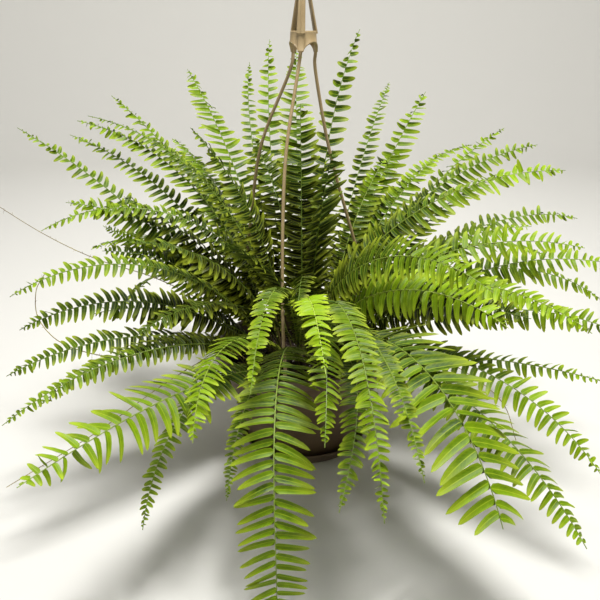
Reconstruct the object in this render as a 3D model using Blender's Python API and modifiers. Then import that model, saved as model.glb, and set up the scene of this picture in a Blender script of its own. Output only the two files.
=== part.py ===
"""Potted fern in a hanging basket.

A moulded basket with a drip saucer hangs from a hook by three strands. Sword fern
fronds rise from the soil, arch over the rim and hang down round it, with a few thin
runners among them. The origin is the centre of the saucer's flat foot, +Z is up, and
-Y is the side that faces the viewer. Sizes in the tables are millimetres.
"""
import math

import bmesh
import bpy
from mathutils import Euler, Matrix, Vector

MM = 0.001
SEAT_GAP = 0.3 * MM
ROUND_STEPS = 28

# Basket: a tapered wall with a thick rim band
POT_FOOT_Z = 2.3 * MM
POT_FOOT_R = 75 * MM
POT_WALL_TOP_Z = 129 * MM
POT_WALL_TOP_R = 112 * MM
POT_WALL = 2.0 * MM
RIM_TOP_Z = 140 * MM
RIM_R = 118.5 * MM
DRAIN_HOLES = 4
DRAIN_HOLE_R = 5 * MM
DRAIN_CIRCLE_R = 52 * MM

# Drip saucer under the basket
SAUCER_FOOT_R = 78 * MM
SAUCER_LIP_R = 90 * MM
SAUCER_LIP_Z = 18 * MM
SAUCER_WALL = 2.0 * MM

# Soil, slightly domed
SOIL_EDGE_Z = 116 * MM
SOIL_DOME = 6 * MM
STEM_DEPTH = 11 * MM
STEM_RISE = 1.5 * MM
HOLE_GAP = 0.4 * MM

# Hanger: three strands from the rim to a collar, three strips from it to the hook
# Azimuth of each strand, and how far it bows out and aside halfway down
STRANDS = {
    "strand_front": (-101, 0, -11),
    "strand_right": (19, -14, 0),
    "strand_left": (139, 8, 16),
}
STRAND_R = 2.0 * MM
STRAND_PEG_R = 1.3 * MM
STRAND_BARB_R = 2.4 * MM
STRAND_CIRCLE_R = 115.3 * MM
RIM_HOLE_R = 1.75 * MM
COLLAR_R = 16.5 * MM
COLLAR_WALL = 2.6 * MM
COLLAR_LOW_Z = 508 * MM
COLLAR_HIGH_Z = 531 * MM
COLLAR_ARCH_HALF = 12.2 * MM
COLLAR_ARCH_RISE = 10 * MM
STRIP_WIDTH = 10 * MM
STRIP_THICK = 2.2 * MM
STRIP_RIB = 1.6 * MM
STEM_LOW_Z = 588 * MM
HOOK_BAR_R = 2.8 * MM
HOOK_INNER_R = 14 * MM
HOOK_CENTRE_Z = 624 * MM

# Fronds: a rib strip with wedge-shaped leaflets, thick at the rib and thin at the tips.
# Broad fronds, from BLUNT_WIDTH up, have leaflets with a shoulder before the tip.
RIB_THICK = 2.2 * MM
RIB_WIDTH = 2.6 * MM
RIB_TIP_WIDTH = 1.2 * MM
SPINE_STEPS = 36
# How late a blade narrows to its tip; most narrow early
USUAL_TAPER = 2.4
TAPERS = {"frond_broad": 14, "frond_front_long": 3.5}
LEAFLET_SPACING = 21.5 * MM
LEAFLET_SPREAD = 0.35
LEAFLET_SWEEP = 0.28
LEAFLET_DROOP = 0.12
LEAFLET_LIFTS = (-0.03, 0.05)
BLUNT_WIDTH = 28 * MM
TUFT_R = 4.5 * MM
TUFT_RISE = 3 * MM

# Thin runners: points along each one's route, from the soil outwards
RUNNER_R = 0.8 * MM
RUNNERS = {
    "runner_left_high": (
        (-63, 8, 108), (-63, 8, 122), (-125, 4, 190), (-190, 0, 230),
        (-265, -4, 258), (-330, -4, 292), (-400, -6, 342),
    ),
    "runner_left_loop": (
        (-71, -43, 108), (-71, -43, 122), (-96, -55, 156), (-140, -74, 172), (-220, -90, 160),
        (-285, -92, 176), (-316, -86, 206), (-318, -80, 240), (-306, -76, 262),
    ),
    "runner_front_left": (
        (-56, -61, 108), (-56, -61, 122), (-78, -76, 156), (-112, -100, 164),
        (-165, -130, 142), (-235, -175, 105), (-319, -227, 70),
    ),
    "runner_right": (
        (67, -40, 108), (67, -40, 122), (92, -54, 156), (130, -76, 170),
        (190, -110, 152), (235, -130, 120), (250, -150, 80),
    ),
}
RUNNER_POINTS = 12

# One row a frond: node, root distance from the middle, heading, rise at the root,
# how far it droops by the tip, length, turn of the heading by the tip,
# half width across the leaflets, roll about its own rib, and bare part of the stem.
# Headings: 0 is +X, -90 is towards the viewer. Rows of one node share their root.
FRONDS = (
    # Hanging in front
    ("frond_front_long", 50, -97, 51, 157, 495, 19, 36, 0, 0.20),
    ("frond_front_low_right", 46, -84, 63, 108, 395, -11, 22, 0, 0.18),
    ("frond_front_low_left", 58, -105, 44, 106, 295, 5, 13, 0, 0.22),
    ("tuft_front_slim", 58, -75, 47, 91, 380, -38, 19, 0, 0.18),
    ("tuft_front_slim", 58, -77, 56, 95, 435, -5, 14, 0, 0.20),
    ("tuft_front_slim", 58, -53, 50, 69, 280, -18, 22, 0, 0.22),
    ("frond_front_tail", 40, -81, 63, 121, 500, -5, 18, 0, 0.16),
    ("tuft_front_top", 32, -99, 70, 110, 405, 5, 15, 0, 0.24),
    ("tuft_front_top", 32, -87, 65, 92, 380, 3, 18, 0, 0.24),
    # Front right
    ("frond_broad", 50, -67, 51, 105, 440, -4, 46, 0, 0.20),
    ("frond_right_front", 57, -61, 38, 85, 435, 8, 28, 10, 0.18),
    ("frond_right_low", 52, -44, 37, 84, 385, 2, 25, 20, 0.18),
    ("frond_right_fan", 8, -52, 75, 100, 372, 5, 32, 48, 0.22),
    ("frond_right_face", 20, -48, 65, 92, 335, 10, 34, 48, 0.22),
    ("frond_right_under", 42, -47, 54, 62, 312, 20, 28, 40, 0.20),
    ("frond_right_tip", 62, -39, 28, 34, 330, 12, 17, 20, 0.18),
    # Right
    ("frond_right_high", 0, -4, 70, 70, 430, -5, 30, 30, 0.18),
    ("frond_right_back", 30, 10, 74, 65, 410, -5, 24, 40, 0.18),
    ("frond_right_mid", 15, -17, 60, 70, 390, 0, 27, 35, 0.18),
    ("frond_right_arch", 25, -39, 60, 90, 400, 5, 24, 30, 0.18),
    ("tuft_right_end", 56, 6, 64, 80, 400, 10, 21, 25, 0.18),
    ("tuft_right_end", 56, -5, 56, 95, 390, 5, 24, 25, 0.18),
    ("tuft_right_outer", 66, -14, 56, 66, 370, 0, 26, 35, 0.20),
    ("tuft_right_outer", 66, -24, 44, 62, 350, 0, 25, 35, 0.20),
    ("tuft_right_inner", 44, -8, 68, 66, 320, 0, 28, 25, 0.22),
    ("tuft_right_inner", 44, -27, 58, 74, 300, 0, 26, 30, 0.22),
    # Back, standing up
    ("frond_back_far_left", 42, 156, 71, 35, 410, 10, 23, 0, 0.18),
    ("frond_back_left", 50, 129, 75, 40, 440, -5, 30, 0, 0.18),
    ("tuft_back_slim", 56, 116, 70, 30, 450, -30, 15, 0, 0.18),
    ("tuft_back_slim", 56, 104, 72, 22, 460, -18, 21, 0, 0.20),
    ("frond_back_mid", 42, 94, 80, 40, 450, -5, 28, 0, 0.18),
    ("frond_back_hook", 35, 72, 85, 37, 455, -15, 23, 0, 0.18),
    ("tuft_back_broad", 58, 62, 70, 36, 430, 5, 19, 0, 0.18),
    ("tuft_back_broad", 58, 46, 66, 26, 410, 5, 29, 0, 0.20),
    ("tuft_back_right", 50, 36, 80, 80, 400, 0, 16, 10, 0.18),
    ("tuft_back_right", 50, 23, 66, 46, 410, 10, 20, 10, 0.18),
    # Left
    ("frond_left_high", 62, 181, 60, 30, 420, -5, 19, -25, 0.18),
    ("tuft_left_top", 48, 167, 71, 56, 410, -5, 20, -20, 0.18),
    ("tuft_left_top", 48, 165, 83, 74, 425, 5, 22, -20, 0.18),
    ("frond_left_back", 33, 165, 84, 75, 430, 5, 17, -10, 0.18),
    ("frond_left_mid", 14, -172, 80, 110, 420, 5, 18, -20, 0.18),
    ("frond_left_end", 40, -155, 65, 92, 385, 5, 19, -20, 0.18),
    ("frond_left_steep", 68, -178, 57, 26, 262, 5, 17, -60, 0.22),
    ("tuft_left_fan", 36, 186, 68, 62, 350, 0, 28, -30, 0.20),
    ("tuft_left_fan", 36, 190, 64, 62, 280, 0, 25, -45, 0.22),
    ("tuft_left_fan", 36, 152, 54, 60, 320, 0, 28, -10, 0.20),
    ("tuft_left_fan", 36, -156, 46, 52, 260, 0, 26, -40, 0.22),
    # Front left
    ("frond_left_long", 52, -114, 27, 37, 425, -15, 36, -25, 0.20),
    ("frond_left_trail", 36, -136, 36, 66, 382, -10, 17, -25, 0.20),
    ("tuft_left_low", 48, -149, 36, 56, 342, 0, 21, -25, 0.20),
    ("tuft_left_low", 48, -158, 51, 74, 340, 6, 24, -25, 0.20),
    ("tuft_left_low", 48, -140, 40, 72, 330, 0, 18, -20, 0.20),
    ("frond_left_hang", 34, -116, 48, 81, 350, 30, 22, 0, 0.24),
    ("frond_left_drop", 66, -120, 38, 103, 330, 16, 17, 0, 0.20),
    # Crown, short and upright
    ("tuft_crown_front", 22, -72, 85, 24, 300, 0, 36, 30, 0.22),
    ("tuft_crown_front", 22, -134, 78, 60, 265, 0, 27, 0, 0.22),
    ("tuft_crown_front", 22, -146, 62, 92, 285, 4, 26, 0, 0.22),
    ("tuft_crown_front", 22, -94, 83, 109, 305, 1, 17, 15, 0.29),
    ("tuft_crown_left", 26, -165, 88, 40, 330, 0, 30, -30, 0.22),
    ("tuft_crown_left", 26, 182, 66, 40, 300, 0, 35, -15, 0.29),
    ("tuft_crown_left", 26, -144, 72, 66, 300, 0, 28, -10, 0.22),
    ("tuft_crown_right", 38, 30, 74, 44, 320, 0, 27, 15, 0.22),
    ("tuft_crown_right", 38, -22, 68, 62, 280, 0, 26, 35, 0.26),
    ("tuft_crown_right", 38, 54, 80, 46, 290, 0, 25, 0, 0.22),
    ("tuft_crown_back", 26, 92, 86, 18, 330, 0, 34, 0, 0.22),
    ("tuft_crown_back", 26, 122, 84, 44, 310, 0, 27, -45, 0.22),
    ("tuft_crown_back", 26, 74, 70, 54, 300, 0, 26, 0, 0.22),
    # Arching away at the back, in tiers
    ("tuft_rear_1", 66, 14, 46, 92, 330, 0, 26, 0, 0.20),
    ("tuft_rear_1", 66, 20, 58, 90, 370, 0, 25, 0, 0.20),
    ("tuft_rear_1", 66, 34, 64, 64, 390, 0, 24, 0, 0.20),
    ("tuft_rear_2", 60, 46, 44, 98, 340, 0, 27, 0, 0.20),
    ("tuft_rear_2", 60, 56, 58, 84, 380, 0, 26, 0, 0.20),
    ("tuft_rear_2", 60, 66, 64, 60, 400, 0, 24, 0, 0.20),
    ("tuft_rear_3", 60, 80, 44, 104, 360, 0, 27, 0, 0.20),
    ("tuft_rear_3", 60, 90, 58, 86, 390, 6, 26, 0, 0.20),
    ("tuft_rear_3", 60, 98, 68, 62, 400, 0, 24, 0, 0.20),
    ("tuft_rear_4", 68, 112, 46, 96, 350, 0, 27, 0, 0.20),
    ("tuft_rear_4", 68, 122, 58, 88, 380, 0, 26, 0, 0.20),
    ("tuft_rear_4", 68, 132, 68, 62, 390, 0, 24, 0, 0.20),
    ("tuft_rear_5", 60, 144, 44, 100, 340, 0, 27, 0, 0.20),
    ("tuft_rear_5", 60, 154, 56, 86, 360, 0, 25, 0, 0.20),
    ("tuft_rear_5", 60, 130, 76, 62, 370, 0, 24, 15, 0.20),
)


def pot_outer_radius(z):
    share = (z - POT_FOOT_Z) / (POT_WALL_TOP_Z - POT_FOOT_Z)
    return POT_FOOT_R + share * (POT_WALL_TOP_R - POT_FOOT_R)


def soil_height(radius):
    return SOIL_EDGE_Z + SOIL_DOME * (1 - radius / pot_outer_radius(SOIL_EDGE_Z))


def polar(radius, azimuth, z=0.0):
    angle = math.radians(azimuth)
    return Vector((radius * math.cos(angle), radius * math.sin(angle), z))


def material(name, colour, roughness):
    made = bpy.data.materials.new(name)
    made.use_nodes = True
    shader = made.node_tree.nodes["Principled BSDF"]
    shader.inputs["Base Color"].default_value = (*colour, 1)
    shader.inputs["Roughness"].default_value = roughness
    shader.inputs["Metallic"].default_value = 0
    return made


def clear_scene():
    for existing in list(bpy.data.objects):
        bpy.data.objects.remove(existing)


def collection(name):
    made = bpy.data.collections.new(name)
    bpy.context.scene.collection.children.link(made)
    return made


def add_object(name, data, home, finish):
    made = bpy.data.objects.new(name, data)
    home.objects.link(made)
    if finish:
        data.materials.append(finish)
    return made


def mesh_from(bm, name):
    mesh = bpy.data.meshes.new(name)
    bm.to_mesh(mesh)
    bm.free()
    return mesh


def turned(name, profile, home, finish, steps=ROUND_STEPS):
    """A profile of (radius, height) points turned about the Z axis."""
    bm = bmesh.new()
    points = [bm.verts.new((radius, 0, z)) for radius, z in profile]
    for low, high in zip(points, points[1:]):
        bm.edges.new((low, high))
    made = add_object(name, mesh_from(bm, name), home, finish)
    screw = made.modifiers.new("Turn", "SCREW")
    screw.steps = steps
    screw.render_steps = steps
    screw.use_merge_vertices = True
    screw.merge_threshold = 0.0001
    return made


def evaluated_mesh(made):
    """The object's mesh with its modifiers, or a curve's tube with its caps welded."""
    bpy.context.view_layer.update()
    graph = bpy.context.evaluated_depsgraph_get()
    mesh = bpy.data.meshes.new_from_object(made.evaluated_get(graph))
    bm = bmesh.new()
    bm.from_mesh(mesh)
    bmesh.ops.remove_doubles(bm, verts=bm.verts, dist=0.00002)
    bmesh.ops.triangulate(bm, faces=bm.faces)
    bm.to_mesh(mesh)
    bm.free()
    return mesh


def settle(made, home):
    """Replaces an object by a plain mesh of what its modifiers or curve give."""
    mesh = evaluated_mesh(made)
    name = made.name
    place = made.matrix_world.copy()
    bpy.data.objects.remove(made)
    mesh.name = name
    settled = bpy.data.objects.new(name, mesh)
    home.objects.link(settled)
    settled.matrix_world = place
    return settled


def boolean(made, operation, collection_name):
    cut = made.modifiers.new(operation.title(), "BOOLEAN")
    cut.operation = operation
    cut.operand_type = "COLLECTION"
    cut.collection = bpy.data.collections[collection_name]
    cut.solver = "EXACT"
    return cut


def join_and_remove(made, others, home, name):
    """Unions the objects in a collection with one object, then removes them."""
    boolean(made, "UNION", others.name)
    joined = settle(made, home)
    for other in list(others.objects):
        bpy.data.objects.remove(other)
    bpy.data.collections.remove(others)
    joined.name = name
    joined.data.name = name
    return joined


def cutter_cylinder(name, radius, depth, place, home, sides, turn=(0, 0, 0)):
    bm = bmesh.new()
    bmesh.ops.create_cone(bm, cap_ends=True, segments=sides, radius1=radius, radius2=radius, depth=depth)
    made = add_object(name, mesh_from(bm, name), home, None)
    made.location = place
    made.rotation_euler = turn
    made.hide_render = True
    made.display_type = "WIRE"
    return made


def smooth_path(points, count):
    """Points read evenly along a smooth curve that passes through the route's points."""
    padded = [points[0] * 2 - points[1]] + list(points) + [points[-1] * 2 - points[-2]]
    dense = []
    for before, start, end, after in zip(padded, padded[1:], padded[2:], padded[3:]):
        for step in range(12):
            t = step / 12
            blend = start * 2 + (end - before) * t
            blend += (before * 2 - start * 5 + end * 4 - after) * t * t
            blend += (start * 3 - before - end * 3 + after) * t ** 3
            dense.append(blend / 2)
    dense.append(points[-1].copy())
    lengths = [0.0]
    for low, high in zip(dense, dense[1:]):
        lengths.append(lengths[-1] + (high - low).length)
    path = []
    index = 0
    for step in range(count):
        wanted = lengths[-1] * step / (count - 1)
        while index < len(dense) - 2 and lengths[index + 1] < wanted:
            index += 1
        span = lengths[index + 1] - lengths[index]
        path.append(dense[index].lerp(dense[index + 1], (wanted - lengths[index]) / span))
    return path


def tube(name, path, radius, home, finish, resolution=1, scales=None):
    curve = bpy.data.curves.new(name, "CURVE")
    curve.dimensions = "3D"
    curve.bevel_depth = radius
    curve.bevel_resolution = resolution
    curve.use_fill_caps = True
    spline = curve.splines.new("POLY")
    spline.points.add(len(path) - 1)
    for index, point in enumerate(path):
        spline.points[index].co = (*point, 1)
        if scales:
            spline.points[index].radius = scales[index]
    return add_object(name, curve, home, finish)


def make_pot(home, cutters, finish):
    rim_inner = RIM_R - 6.5 * MM
    floor_z = POT_FOOT_Z + POT_WALL
    profile = (
        (0, floor_z),
        (POT_FOOT_R - POT_WALL, floor_z),
        (POT_WALL_TOP_R - POT_WALL, POT_WALL_TOP_Z),
        (rim_inner, RIM_TOP_Z),
        (RIM_R, RIM_TOP_Z),
        (RIM_R, POT_WALL_TOP_Z),
        (POT_WALL_TOP_R, POT_WALL_TOP_Z),
        (POT_FOOT_R, POT_FOOT_Z),
        (0, POT_FOOT_Z),
    )
    pot = turned("pot", profile, home, finish)
    for index in range(DRAIN_HOLES):
        place = polar(DRAIN_CIRCLE_R, 45 + index * 360 / DRAIN_HOLES, floor_z)
        cutter_cylinder(f"drain_{index}", DRAIN_HOLE_R, 20 * MM, place, cutters, 8)
    for name, (azimuth, out, aside) in STRANDS.items():
        place = polar(STRAND_CIRCLE_R, azimuth, RIM_TOP_Z - 5 * MM)
        cutter_cylinder(f"{name}_hole", RIM_HOLE_R, 30 * MM, place, cutters, 8)
    boolean(pot, "DIFFERENCE", cutters.name)
    return pot


def make_saucer(home, finish):
    profile = (
        (0, SAUCER_WALL),
        (SAUCER_FOOT_R - SAUCER_WALL, SAUCER_WALL),
        (SAUCER_LIP_R - SAUCER_WALL, SAUCER_LIP_Z),
        (SAUCER_LIP_R, SAUCER_LIP_Z),
        (SAUCER_FOOT_R, 0),
        (0, 0),
    )
    return turned("saucer", profile, home, finish)


def make_soil(home, cutters, finish):
    floor_z = POT_FOOT_Z + POT_WALL + SEAT_GAP
    clear = POT_WALL + 3 * SEAT_GAP
    edge = pot_outer_radius(SOIL_EDGE_Z) - clear
    foot = pot_outer_radius(floor_z) - clear
    profile = ((0, soil_height(0)), (edge, soil_height(edge)), (foot, floor_z), (0, floor_z))
    soil = turned("soil", profile, home, finish)
    boolean(soil, "DIFFERENCE", cutters.name)
    return soil


def strand_route(azimuth, out, aside):
    """From the collar down and out to the rim, bowed a little as a slack moulding is."""
    side = polar(MM, azimuth + 90) * aside
    top = polar(COLLAR_R - COLLAR_WALL / 2, azimuth, COLLAR_LOW_Z - 2.4 * SEAT_GAP)
    below = polar(COLLAR_R + (0.5 + 0.1 * out) * MM, azimuth, COLLAR_LOW_Z - 23 * MM) + side * 0.3
    high = polar((47 + out) * MM, azimuth, 400 * MM) + side
    middle = polar((70 + out * 0.7) * MM, azimuth, 310 * MM) + side
    low = polar((98 + out * 0.2) * MM, azimuth, 205 * MM) + side * 0.5
    near = polar(STRAND_CIRCLE_R - 1.5 * MM, azimuth, RIM_TOP_Z + 18 * MM)
    seat = polar(STRAND_CIRCLE_R, azimuth, RIM_TOP_Z + 3 * MM)
    return smooth_path([top, below, high, middle, low, near, seat], 13)


def make_strand(name, home, finish):
    """A tube that steps down to a peg through the rim, with a barb under it."""
    azimuth = STRANDS[name][0]
    path = strand_route(*STRANDS[name])
    scales = [1.0] * len(path)
    peg = STRAND_PEG_R / STRAND_R
    barb = STRAND_BARB_R / STRAND_R
    under = POT_WALL_TOP_Z - SEAT_GAP
    stations = (
        (RIM_TOP_Z + 1.2 * MM, 1.0),
        (RIM_TOP_Z + SEAT_GAP, peg),
        (under, peg),
        (under - 0.2 * MM, barb),
        (under - 5 * MM, peg * 0.7),
    )
    for z, scale in stations:
        path.append(polar(STRAND_CIRCLE_R, azimuth, z))
        scales.append(scale)
    return tube(name, path, STRAND_R, home, finish, 1, scales)


def make_runner(name, home, cutters, finish):
    """A wiry runner that lifts off the soil and trails outside the basket."""
    route = [Vector(point) * MM for point in RUNNERS[name]]
    path = [route[0]] + smooth_path(route[1:], RUNNER_POINTS)
    cutter_cylinder(f"{name}_hole", RUNNER_R + 2 * HOLE_GAP, 30 * MM, path[0], cutters, 4)
    scales = [1.0] * (len(path) - 1) + [0.6]
    return tube(name, path, RUNNER_R, home, finish, 0, scales)


def add_bar(name, width, thick, length, home, place):
    """A bar along its own Z axis that tapers to its upper end."""
    bm = bmesh.new()
    bmesh.ops.create_cube(bm, size=1)
    bmesh.ops.scale(bm, vec=(width, thick, length), verts=bm.verts)
    for vert in bm.verts:
        if vert.co.z > 0:
            vert.co.x *= 0.6
    made = add_object(name, mesh_from(bm, name), home, None)
    made.matrix_world = place
    return made


def make_strip(azimuth, home):
    """One strip from the collar up to the hook's stem, stiffened by a rib on its outer face."""
    low = polar(COLLAR_R - COLLAR_WALL / 2, azimuth, COLLAR_HIGH_Z - 3 * MM)
    high = polar(2.2 * MM, azimuth, STEM_LOW_Z + 6 * MM)
    along = high - low
    out = polar(1, azimuth)
    side = out.cross(along).normalized()
    face = along.normalized().cross(side)
    frame = Matrix((side, face, along.normalized())).transposed().to_4x4()
    middle = (low + high) / 2
    add_bar(f"strip_{azimuth}", STRIP_WIDTH, STRIP_THICK, along.length, home, Matrix.Translation(middle) @ frame)
    raised = middle + face * STRIP_THICK / 2
    length = along.length * 0.84
    add_bar(f"rib_{azimuth}", STRIP_RIB, STRIP_RIB, length, home, Matrix.Translation(raised) @ frame)


def hook_path():
    """Up the stem, round the hook and down to its open tip."""
    stem = [Vector((0, 0, STEM_LOW_Z)), Vector((0, 0, STEM_LOW_Z + 8 * MM))]
    radius = HOOK_INNER_R + HOOK_BAR_R
    centre = Vector((0, 0, HOOK_CENTRE_Z))
    start, end, count = -90, 165, 14
    ring = []
    for step in range(count + 1):
        angle = math.radians(start + (end - start) * step / count)
        ring.append(centre + Vector((radius * math.cos(angle), 0, radius * math.sin(angle))))
    return stem + ring


def make_hanger_head(home, cutters, finish):
    profile = (
        (COLLAR_R - COLLAR_WALL - 1.5 * MM, COLLAR_HIGH_Z),
        (COLLAR_R - 1.5 * MM, COLLAR_HIGH_Z),
        (COLLAR_R, COLLAR_LOW_Z),
        (COLLAR_R - COLLAR_WALL, COLLAR_LOW_Z),
        (COLLAR_R - COLLAR_WALL - 1.5 * MM, COLLAR_HIGH_Z),
    )
    collar = turned("collar", profile, home, None, 18)
    arches = collection("arch_cutters")
    for azimuth, out, aside in STRANDS.values():
        place = polar(COLLAR_R - 2 * MM, azimuth + 60, COLLAR_LOW_Z)
        turn = Euler((0, math.pi / 2, math.radians(azimuth + 60)))
        arch = cutter_cylinder(f"arch_{azimuth}", COLLAR_ARCH_HALF, 17 * MM, place, arches, 16, turn)
        arch.scale.x = COLLAR_ARCH_RISE / COLLAR_ARCH_HALF
        place.z = COLLAR_HIGH_Z - 9 * MM
        cutter_cylinder(f"eye_{azimuth}", 1.1 * MM, 17 * MM, place, arches, 6, turn)
    boolean(collar, "DIFFERENCE", arches.name)
    collar = settle(collar, home)
    for cutter in list(arches.objects):
        bpy.data.objects.remove(cutter)
    bpy.data.collections.remove(arches)
    pieces = collection("hanger_pieces")
    for azimuth, out, aside in STRANDS.values():
        make_strip(azimuth, pieces)
    hook = tube("hook_bar", hook_path(), HOOK_BAR_R, home, None, 2)
    settled = settle(hook, home)
    home.objects.unlink(settled)
    pieces.objects.link(settled)
    head = join_and_remove(collar, pieces, home, "hanger_head")
    head.data.materials.clear()
    head.data.materials.append(finish)
    return head


class Frond:
    """A frond's rib, read from its row, with the frame of its blade at any point."""

    def __init__(self, row, root_heading):
        (self.node, root, self.heading, self.rise, self.droop, length, self.turn,
         half_width, self.roll, self.bare) = row
        self.length = length * MM
        self.half_width = half_width * MM
        self.taper = TAPERS.get(self.node, USUAL_TAPER)
        spacing = LEAFLET_SPACING + LEAFLET_SPREAD * self.half_width
        self.pairs = round(self.length * (1 - self.bare) / spacing)
        self.root = polar(root * MM, root_heading, soil_height(root * MM) + STEM_RISE)
        self.points = [self.root.copy()]
        step = self.length / SPINE_STEPS
        for index in range(SPINE_STEPS):
            self.points.append(self.points[-1] + self.tangent((index + 0.5) / SPINE_STEPS) * step)

    def angles(self, share):
        rise = math.radians(self.rise - self.droop * share ** 1.25)
        heading = math.radians(self.heading + self.turn * share ** 2)
        return rise, heading

    def tangent(self, share):
        rise, heading = self.angles(share)
        flat = math.cos(rise)
        return Vector((flat * math.cos(heading), flat * math.sin(heading), math.sin(rise)))

    def frame(self, share):
        """The rib's point there, with its directions along, to the left and up."""
        place = min(max(share, 0.0), 1.0) * SPINE_STEPS
        index = min(int(place), SPINE_STEPS - 1)
        point = self.points[index].lerp(self.points[index + 1], place - index)
        along = self.tangent(share)
        heading = self.angles(share)[1]
        left = Vector((-math.sin(heading), math.cos(heading), 0))
        up = along.cross(left)
        roll = math.radians(self.roll) * min(1.0, share * 3)
        rolled_left = left * math.cos(roll) + up * math.sin(roll)
        rolled_up = up * math.cos(roll) - left * math.sin(roll)
        return point, along, rolled_left, rolled_up

    def width(self, blade_share):
        """Half width across the leaflets, from the first pair, 0, to the tip, 1."""
        opening = min(1.0, 0.55 + 0.45 * blade_share / 0.22)
        return self.half_width * opening * max(0.0, 1 - blade_share ** self.taper) ** 0.75


def frond_sheet(frond):
    """Points, faces and thickness shares of the frond's sheet: rib strip and leaflets."""
    points = []
    shares = []
    faces = []

    def add(point, share):
        points.append(point)
        shares.append(share)
        return len(points) - 1

    def rib_edge(share, sign):
        point, along, left, up = frond.frame(share)
        width = RIB_WIDTH + (RIB_TIP_WIDTH - RIB_WIDTH) * share
        return add(point + left * sign * width / 2, 1.0)

    def blade_share(step):
        grown = 1 - (1 - step / (frond.pairs + 1)) ** 1.12
        return frond.bare + (1 - frond.bare) * grown

    point, along, left, up = frond.frame(0.0)
    buried = point - Vector((0, 0, STEM_DEPTH))
    lefts = [add(buried + left * RIB_WIDTH / 2, 1.0), rib_edge(0.0, 1)]
    rights = [add(buried - left * RIB_WIDTH / 2, 1.0), rib_edge(0.0, -1)]
    first = len(lefts)
    for index in range(frond.pairs + 1):
        lefts.append(rib_edge(blade_share(index), 1))
        rights.append(rib_edge(blade_share(index + 0.5), -1))
    for index in range(len(lefts) - 1):
        faces.append((lefts[index], rights[index], lefts[index + 1]))
        faces.append((rights[index], rights[index + 1], lefts[index + 1]))
    tip = add(frond.frame(1.0)[0], 0.0)
    faces.append((lefts[-1], rights[-1], tip))

    for chain, sign, offset in ((lefts, 1, 0.0), (rights, -1, 0.5)):
        for index in range(frond.pairs):
            low = chain[first + index]
            high = chain[first + index + 1]
            middle = index + offset + 0.5
            point, along, left, up = frond.frame(blade_share(middle))
            width = frond.width(min(1.0, middle / (frond.pairs + 0.5)))
            lift = LEAFLET_LIFTS[index % 2]
            out = left * sign + along * LEAFLET_SWEEP - up * (LEAFLET_DROOP + lift)
            start = points[low]
            end = points[high]
            corner = add(start.lerp(end, 0.62) + out * width, 0.0)
            outline = [low, high, corner]
            if frond.half_width >= BLUNT_WIDTH:
                shoulder = add(start.lerp(end, 0.15) + out * width * 0.84, 0.0)
                outline.append(shoulder)
            for second, third in zip(outline[1:], outline[2:]):
                face = (low, second, third)
                faces.append(face if sign > 0 else face[::-1])
    return points, faces, shares


def frond_object(frond, name, home, finish):
    points, faces, shares = frond_sheet(frond)
    mesh = bpy.data.meshes.new(name)
    mesh.from_pydata(points, [], faces)
    made = add_object(name, mesh, home, finish)
    group = made.vertex_groups.new(name="rib")
    for index, share in enumerate(shares):
        group.add([index], share, "REPLACE")
    blade = made.modifiers.new("Blade", "SOLIDIFY")
    blade.thickness = RIB_THICK
    blade.offset = 0
    blade.vertex_group = "rib"
    weld = made.modifiers.new("Edges", "WELD")
    weld.merge_threshold = 0.00002
    return made


def soil_hole(name, place, radius, turn, sides, home):
    depth = STEM_DEPTH + 1 * MM + HOLE_GAP
    return cutter_cylinder(name, radius, 2 * depth, place, home, sides, (0, 0, math.radians(turn)))


def make_tuft(name, fronds, home, cutters, finish):
    """Fronds of one tuft, fused to a short crown that stands in one hole."""
    root = fronds[0].root
    bm = bmesh.new()
    depth = STEM_DEPTH + TUFT_RISE
    bmesh.ops.create_cone(bm, cap_ends=True, segments=6, radius1=TUFT_R, radius2=TUFT_R * 0.7, depth=depth)
    crown = add_object(f"{name}_crown", mesh_from(bm, name), home, finish)
    crown.location = root + Vector((0, 0, TUFT_RISE - depth / 2))
    pieces = collection(f"{name}_pieces")
    for index, frond in enumerate(fronds):
        made = frond_object(frond, f"{name}_{index}", home, finish)
        made = settle(made, pieces)
    joined = join_and_remove(crown, pieces, home, name)
    joined.data.materials.clear()
    joined.data.materials.append(finish)
    soil_hole(f"{name}_hole", root, TUFT_R + HOLE_GAP * 1.5, 0, 6, cutters)
    return joined


def make_fronds(home, cutters, finish):
    nodes = {}
    for row in FRONDS:
        fronds = nodes.setdefault(row[0], [])
        root_heading = fronds[0].heading if fronds else row[2]
        fronds.append(Frond(row, root_heading))
    for name, fronds in nodes.items():
        if len(fronds) > 1:
            make_tuft(name, fronds, home, cutters, finish)
            continue
        frond = fronds[0]
        frond_object(frond, name, home, finish)
        reach = math.hypot(RIB_WIDTH, RIB_THICK) / 2 + HOLE_GAP * 1.4
        soil_hole(f"{name}_hole", frond.root, reach, frond.heading + 45, 4, cutters)


def build():
    clear_scene()
    home = collection("hanging_fern")
    pot_cutters = collection("pot_cutters")
    soil_cutters = collection("soil_cutters")
    taupe = material("taupe_plastic", (0.28, 0.21, 0.14), 0.5)
    earth = material("dark_soil", (0.03, 0.02, 0.012), 0.95)
    green = material("fern_green", (0.16, 0.36, 0.03), 0.5)
    straw = material("dry_runner", (0.30, 0.26, 0.12), 0.7)
    make_pot(home, pot_cutters, taupe)
    make_saucer(home, taupe)
    make_soil(home, soil_cutters, earth)
    make_hanger_head(home, pot_cutters, taupe)
    for name in STRANDS:
        make_strand(name, home, taupe)
    for name in RUNNERS:
        make_runner(name, home, soil_cutters, straw)
    make_fronds(home, soil_cutters, green)


build()
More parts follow.
